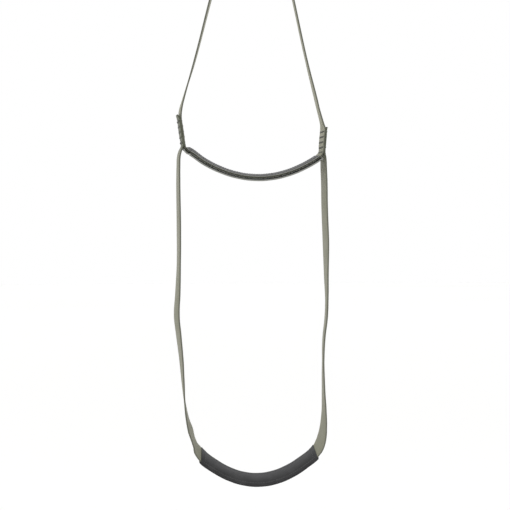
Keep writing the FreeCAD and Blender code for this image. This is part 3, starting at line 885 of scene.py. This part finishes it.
upper_from = chalk_mark(upper_trace, *step_stations(UPPER_STEP)[0][:2]) - UPPER_PAST_LEFT
upper_to = chalk_mark(upper_trace, *step_stations(UPPER_STEP)[-1][:2]) + UPPER_PAST_RIGHT
lower_from = chalk_mark(lower_trace, *step_stations(LOWER_STEP)[0][:2])
lower_to = chalk_mark(lower_trace, *step_stations(LOWER_STEP)[-1][:2])
upper_sleeve = folded_sleeve("upper_step_cover", upper_from, upper_to, OPEN_EDGE, HEM_EXTRA)
lower_sleeve = folded_sleeve("lower_step_cover", lower_from, lower_to, PRESSED_EDGE, 0)
lean_ends(upper_sleeve, upper_from, upper_to, UPPER_LEANS)
lean_ends(lower_sleeve, lower_from, lower_to, LOWER_LEANS)
hang(upper_sleeve, upper_line)
hang(lower_sleeve, lower_line)
finish_piece(upper_sleeve, cloth_finish, "sleeve_cloth", "upper_step_sleeve")
finish_piece(lower_sleeve, cloth_finish, "sleeve_cloth", "lower_step_sleeve")
print("sleeves are", round(upper_to - upper_from), "and", round(lower_to - lower_from), "mm long")

# %% [markdown]
# ## The stiffeners
# A strip of plastic sheet lies under the webbing inside each sleeve and keeps the step
# open for a foot. It is narrower than the seams are apart, and it ends just inside the
# sleeve's mouths, where it can be seen from below. Its corners are rounded, so that they
# don't wear through the cloth, and its knife-cut edges get only a hair of bevel.

# %% Stiffeners
SHEET_HALF_WIDTH = 10.4
SHEET_SPAN = (-1.87, -1.07)
SHEET_INSET = 4.0
SHEET_CORNER = 3.0
SHEET_EDGE = 0.15
SHEET_STEP = 3.0


def stiffener(name, start, end):
    sheet = flat_block(name, (start, end), (-SHEET_HALF_WIDTH, SHEET_HALF_WIDTH), SHEET_SPAN)
    select_edges(sheet, runs_along(2))
    bpy.ops.mesh.bevel(offset=SHEET_CORNER * MM, segments=4, affect="EDGES")
    select_edges(sheet, runs_along(0))
    bpy.ops.mesh.bevel(offset=SHEET_EDGE * MM, segments=1, affect="EDGES")
    divide_along(sheet, SHEET_STEP)
    lay_cloth_map(sheet)
    return sheet


upper_sheet = stiffener("upper_stiffener_strip", upper_from + SHEET_INSET, upper_to - SHEET_INSET)
lower_sheet = stiffener("lower_stiffener_strip", lower_from + SHEET_INSET, lower_to - SHEET_INSET)
hang(upper_sheet, upper_line)
hang(lower_sheet, lower_line)
finish_piece(upper_sheet, sheet_finish, "stiffener_sheet", "upper_step_stiffener")
finish_piece(lower_sheet, sheet_finish, "stiffener_sheet", "lower_step_stiffener")

# %% [markdown]
# ## Stitches
# A lockstitch shows as a row of short raised bits of thread, each diving into the cloth
# at both ends. A bump pattern would leave the outline smooth, so each bit is modelled: a
# thin six-sided rod whose ends are drawn in and pushed down.

# %% One bit of thread
def thread_bit(name, length, thick):
    """A bit of thread along X, centred on the origin, its two ends drawn in and down."""
    deselect_all()
    bpy.ops.mesh.primitive_cylinder_add(vertices=6, radius=thick / 2 * MM, depth=length * MM,
                                        rotation=(0, math.pi / 2, 0))
    bit = bpy.context.object
    bit.name = name
    bpy.ops.object.transform_apply(location=True, rotation=True, scale=True)
    select_edges(bit, runs_along(0))
    bpy.ops.mesh.subdivide(number_cuts=2)
    for side in (-1, 1):
        select_faces(bit, lambda centre, normal: centre.x * side > 0.49 * length * MM)
        tip = (side * length / 2 * MM, 0, 0)
        bpy.ops.transform.resize(value=(1, 0.45, 0.45), center_override=tip)
        bpy.ops.transform.translate(value=(0, 0, -0.3 * thick * MM))
    bpy.ops.object.mode_set(mode="OBJECT")
    lay_cloth_map(bit)
    return bit


print("a bit of thread has six sides and two drawn-in ends")

# %% [markdown]
# Rows of such bits are laid out flat with Array and a few small moves, and are then hung
# with the rest. Placing each stitch on the curved step would come to the same, but the
# Curve modifier already knows the way.

# %% Moving, repeating and joining
def move_flat(piece, along, across, height):
    """Move a flat piece by millimetres, in its mesh."""
    make_active(piece)
    piece.location = (along * MM, across * MM, height * MM)
    bpy.ops.object.transform_apply(location=True, rotation=True, scale=True)
    return piece


def turn_flat(piece, angle, axis):
    """Turn a flat piece about the origin by an angle in degrees about X, Y or Z."""
    make_active(piece)
    setattr(piece.rotation_euler, axis, math.radians(angle))
    bpy.ops.object.transform_apply(location=True, rotation=True, scale=True)
    return piece


def repeat(piece, count, along, across):
    """Copies at equal steps, in millimetres, joined in one mesh."""
    make_active(piece)
    rows = piece.modifiers.new("rows", "ARRAY")
    rows.count = count
    rows.use_relative_offset = False
    rows.use_constant_offset = True
    rows.constant_offset_displace = (along * MM, across * MM, 0)
    bpy.ops.object.modifier_apply(modifier=rows.name)
    return piece


def copy_of(piece):
    """A copy with its own mesh."""
    twin = piece.copy()
    twin.data = piece.data.copy()
    bpy.context.scene.collection.objects.link(twin)
    return twin


def join(name, pieces):
    make_active(pieces[0])
    for piece in pieces[1:]:
        piece.select_set(True)
    bpy.ops.object.join()
    pieces[0].name = name
    return pieces[0]


print("flat work: move_flat, turn_flat, repeat, copy_of and join")

# %% [markdown]
# The long seams run the whole step, 3 mm in from each edge, on both faces. At each end
# a shorter row across the step closes the sleeve on to the webbing. The thread on the
# underside is the same thread turned over.

# %% Seams of the steps
STITCH_LENGTH = 2.9
STITCH_PITCH = 3.5
SEAM_THREAD = 0.9
SEAM_END_GAP = 3.0
LONG_ROW_SUNK = 0.15
END_ROW_PROUD = 0.1
END_ROW_INSET = 6.5
END_ROW_COUNT = 5
# Each face of a sleeve: its height, which way is out, and the turn of its thread.
FACES = ((SLEEVE_TOP, 1, 0), (SLEEVE_LOW, -1, 180))


def long_seams(name, start, end):
    count = int((end - start - 2 * SEAM_END_GAP) / STITCH_PITCH)
    first = start + SEAM_END_GAP + STITCH_PITCH / 2
    rows = []
    for face, out, turn in FACES:
        for across in (-SEAM_ACROSS, SEAM_ACROSS):
            row = turn_flat(thread_bit("row", STITCH_LENGTH, SEAM_THREAD), turn, "x")
            move_flat(row, first, across, face - out * LONG_ROW_SUNK)
            rows.append(repeat(row, count, STITCH_PITCH, 0))
    return join(name, rows)


def end_seams(name, start, end):
    first = -STITCH_PITCH * (END_ROW_COUNT - 1) / 2
    rows = []
    for face, out, turn in FACES:
        for along in (start + END_ROW_INSET, end - END_ROW_INSET):
            row = turn_flat(thread_bit("row", STITCH_LENGTH, SEAM_THREAD), turn, "x")
            turn_flat(row, 90, "z")
            move_flat(row, along, first, face + out * END_ROW_PROUD)
            rows.append(repeat(row, END_ROW_COUNT, 0, STITCH_PITCH))
    return join(name, rows)


upper_seams = hang(long_seams("upper_long_seams", upper_from, upper_to), upper_line)
upper_ends = hang(end_seams("upper_end_seams", upper_from, upper_to), upper_line)
lower_seams = long_seams("lower_long_seams", lower_from, lower_to)
lower_ends = end_seams("lower_end_seams", lower_from, lower_to)
for sewn in (lower_seams, lower_ends):
    lean_ends(sewn, lower_from, lower_to, LOWER_LEANS)
    hang(sewn, lower_line)
finish_piece(upper_seams, seam_finish, "seam_thread", "upper_step_seam_stitching")
finish_piece(lower_seams, seam_finish, "seam_thread", "lower_step_seam_stitching")
finish_piece(upper_ends, seam_finish, "seam_thread", "upper_step_end_stitching")
finish_piece(lower_ends, seam_finish, "seam_thread", "lower_step_end_stitching")

# %% [markdown]
# ## Bar tacks
# A bar tack is a dense zigzag across the tape that carries the load of a joint. The
# machine swings the needle along the tape while the tape moves sideways, so the tack is
# a row of short passes of thread that lean a little left and right by turns. Two passes
# are modelled, and Array repeats them across the tape. One long zigzag tube would look
# the same and be harder to keep flat.

# %% Bar tacks
TACK_HEIGHT = 2.6
TACK_THREAD = 0.95
TACK_LENGTH = 21.0
PASS_PITCH = 0.85
PASS_LEAN = 9.0
TACK_PROUD = 0.12


def bar_tack(turn):
    """One flat bar tack centred on the origin: passes along X, repeated along Y."""
    passes = []
    for number, lean in enumerate((PASS_LEAN, -PASS_LEAN)):
        one = turn_flat(thread_bit("pass", TACK_HEIGHT, TACK_THREAD), lean, "z")
        move_flat(one, 0, (number - 0.5) * PASS_PITCH, 0)
        passes.append(one)
    tack = join("tack", passes)
    count = int(TACK_LENGTH / (2 * PASS_PITCH))
    repeat(tack, count, 0, 2 * PASS_PITCH)
    move_flat(tack, 0, -(count - 1) * PASS_PITCH, 0)
    return turn_flat(tack, turn, "x")


def tack_rows(name, places, top_face, low_face):
    """Bar tacks on both faces of a stack of webbing, at these lengths along it."""
    pieces = []
    for height, turn in ((top_face + TACK_PROUD, 0), (low_face - TACK_PROUD, 180)):
        pattern = bar_tack(turn)
        for place in places:
            pieces.append(move_flat(copy_of(pattern), place, 0, height))
        bpy.data.objects.remove(pattern)
    return join(name, pieces)


print("a tack has", 2 * int(TACK_LENGTH / (2 * PASS_PITCH)), "passes of thread")

# %% [markdown]
# Five tacks hold each joint, through one layer of each strap. They are spaced evenly
# about the middle of the joint, and the right row sits a little lower on its leg.

# %% Tacks of the two joints
JOINT_TACKS = 5
JOINT_PITCH = 7.1
RIGHT_TACK_DROP = 2.4
JOINT_FACES = (WEBBING_HALF_THICK, -WEBBING_HALF_THICK - LAYER)


def joint_places(joint, drop=0.0):
    """Where the tacks of a joint lie, as lengths along the upper strap."""
    middle = sum(chalk_mark(upper_trace, *end) for end in joint) / 2 - drop
    return [middle + JOINT_PITCH * (n - (JOINT_TACKS - 1) / 2) for n in range(JOINT_TACKS)]


left_tacks = tack_rows("left_joint_tacks", joint_places(LEFT_JOINT), *JOINT_FACES)
right_tacks = tack_rows("right_joint_tacks", joint_places(RIGHT_JOINT, RIGHT_TACK_DROP),
                        *JOINT_FACES)
hang(left_tacks, upper_line)
hang(right_tacks, upper_line)
finish_piece(left_tacks, tack_finish, "tack_thread", "left_joint_bar_tacks")
finish_piece(right_tacks, tack_finish, "tack_thread", "right_joint_bar_tacks")

# %% [markdown]
# The stem under the eye holds four layers. Its tacks hang along a short straight line
# down the middle of the stack. It is not quite plumb, because a Curve modifier can't
# tell which way a piece should face on a line that is exactly upright.

# %% Tacks of the eye
STEM_STATIONS = [(0.05, 0, 0), (0.0, -30, 0), (-0.05, -70, 0)]
STEM_FACE = 4.075
EYE_TACKS = [34.5 + 5.8 * n for n in range(5)]

stem_line = hang_line("stem_line", STEM_STATIONS)
eye_tacks = tack_rows("eye_stem_tacks", EYE_TACKS, STEM_FACE, -STEM_FACE)
hang(eye_tacks, stem_line)
finish_piece(eye_tacks, tack_finish, "tack_thread", "eye_bar_tacks")

for guide in (upper_line, lower_line, stem_line):
    bpy.data.objects.remove(guide)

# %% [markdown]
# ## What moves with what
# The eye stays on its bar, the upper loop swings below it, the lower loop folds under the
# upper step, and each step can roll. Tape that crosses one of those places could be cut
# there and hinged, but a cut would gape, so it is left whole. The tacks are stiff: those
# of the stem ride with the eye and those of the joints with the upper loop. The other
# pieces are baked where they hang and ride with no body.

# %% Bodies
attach(eye_tacks, "hang_eye")
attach(left_tacks, "upper_loop")
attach(right_tacks, "upper_loop")
for piece in (left_leg, right_leg):
    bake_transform(piece)
for piece in (left_strap, right_strap):
    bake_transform(piece)
for piece in (foot_bend, upper_sleeve, upper_sheet, upper_seams, upper_ends):
    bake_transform(piece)
for piece in (tread_bend, lower_sleeve, lower_sheet, lower_seams, lower_ends):
    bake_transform(piece)

# %% Sizes
seen_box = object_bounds()
for label, corners in (("CAD", cad_box), ("visual", seen_box)):
    print(label, "size in mm:", [round((high - low) / MM, 1) for low, high in zip(*corners)])
